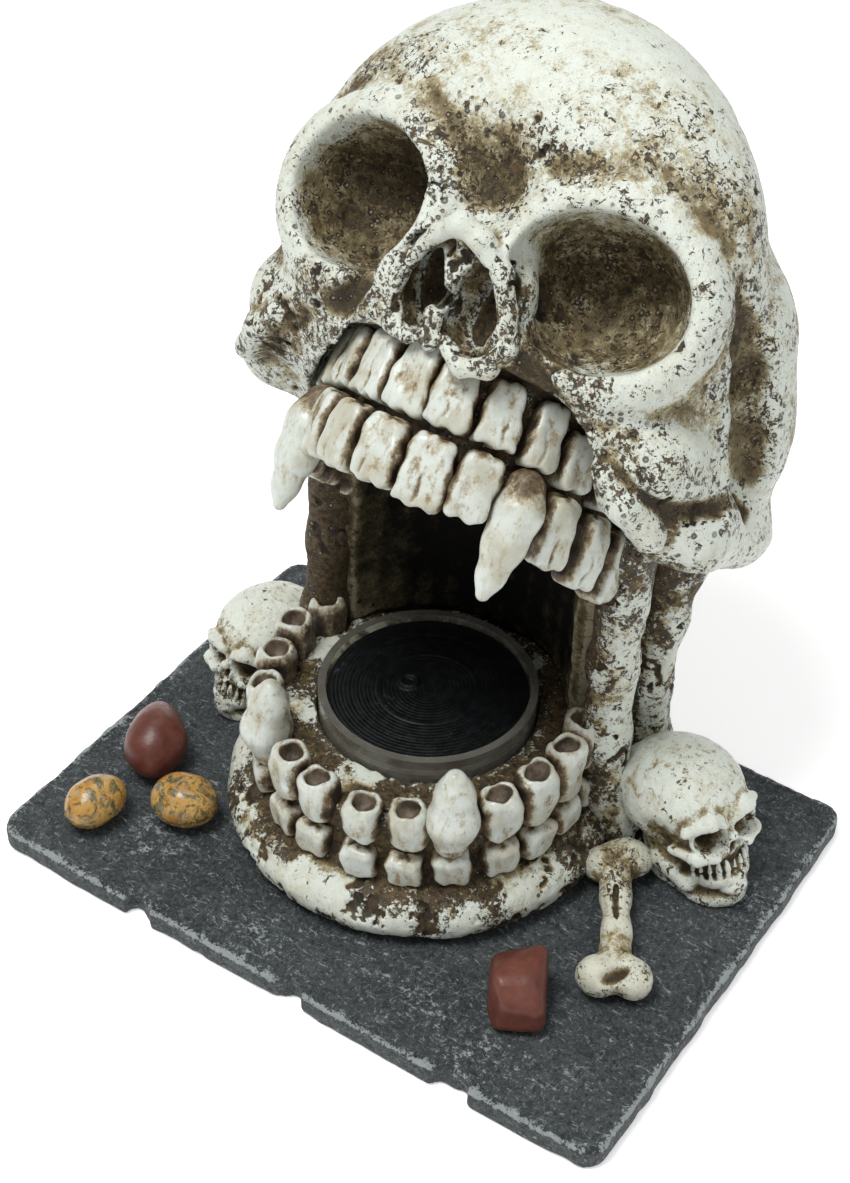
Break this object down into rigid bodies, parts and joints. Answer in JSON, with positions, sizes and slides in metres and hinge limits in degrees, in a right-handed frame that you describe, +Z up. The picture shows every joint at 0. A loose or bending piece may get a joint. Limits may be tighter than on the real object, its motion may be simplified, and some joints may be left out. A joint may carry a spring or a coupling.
{
  "type": "bubbling aquarium ornament",
  "caption": "Fanged skull ornament on a notched slate slab, its open mouth holding a lift-out air diffuser with a ribbed rubber membrane in a clear cup.",
  "frame": {"origin": "centre of the slab's underside", "axes": "+Z up, -Y the way the skull faces, +X to the right as the viewer faces the skull's front"},
  "size_m": [0.2, 0.1715, 0.2277],
  "materials": {
    "bone_resin": "cast resin painted off-white with an olive-brown wash, satin",
    "tooth_resin": "cast resin painted ivory with dark brown seams, satin",
    "dark_bone_resin": "cast resin painted dark brown, matt",
    "slate_paint": "cast resin painted slate grey, dry-brushed with pale grey, matt",
    "brown_stone": "tumbled brown stone, polished",
    "ochre_stone": "tumbled ochre stone with dark green patches, polished",
    "clear_plastic": "clear moulded plastic, slightly cloudy",
    "grey_plastic": "moulded plastic",
    "black_rubber": "moulded rubber, satin"
  },
  "bodies": {
    "ornament": {"base_slab": "slate_paint", "lower_jaw": "bone_resin", "lower_crowns": "tooth_resin", "lower_roots": "tooth_resin", "lower_fangs": "tooth_resin", "throat_wall": "dark_bone_resin", "front_strut_left": "bone_resin", "front_strut_right": "bone_resin", "rear_pillar_left": "bone_resin", "rear_pillar_right": "bone_resin", "cranium": "bone_resin", "cheekbones": "bone_resin", "nose_rim": "bone_resin", "upper_jaw": "dark_bone_resin", "upper_teeth_top_row": "tooth_resin", "upper_teeth_bottom_row": "tooth_resin", "upper_fangs": "tooth_resin", "side_skull_left": "bone_resin", "side_skull_right": "bone_resin", "thigh_bone": "bone_resin", "brown_pebble": "brown_stone", "ochre_pebble_left": "ochre_stone", "ochre_pebble_right": "ochre_stone", "brown_block_stone": "brown_stone"},
    "air_disc": {"diffuser_cup": "clear_plastic", "diffuser_membrane": "black_rubber", "membrane_clamp": "clear_plastic", "support_plate": "grey_plastic", "air_nipple": "clear_plastic"}
  },
  "joints": [
    {"name": "diffuser_lift", "type": "slide", "parent": "ornament", "child": "air_disc", "axis": [0, 0, 1], "range_m": [0, 0.045]}
  ]
}
